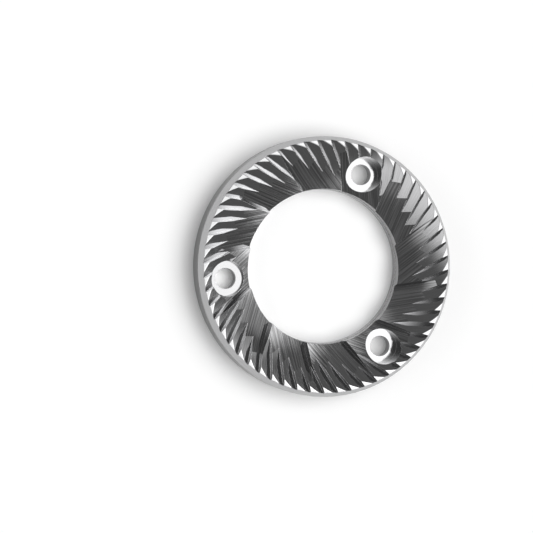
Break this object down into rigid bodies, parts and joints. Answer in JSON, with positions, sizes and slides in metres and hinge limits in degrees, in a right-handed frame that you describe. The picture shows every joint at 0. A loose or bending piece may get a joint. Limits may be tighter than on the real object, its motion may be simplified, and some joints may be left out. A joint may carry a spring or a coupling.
{
  "type": "coffee grinder burr",
  "caption": "Flat ring burr with slanted grinding teeth, stepped pre-breaker faces around an open bore, and counterbored screw holes through the ring.",
  "frame": {"origin": "Centre of the flat back face, which lies on Z = 0.", "axes": "+Z is the ring's axis and points out of the toothed face. +X lies between two screw holes: the nearest hole counterclockwise stands at 66.6 degrees."},
  "size_m": [0.064, 0.064, 0.0081],
  "materials": {
    "steel": "ground"
  },
  "bodies": {
    "root": {"burr": "steel"}
  },
  "joints": []
}
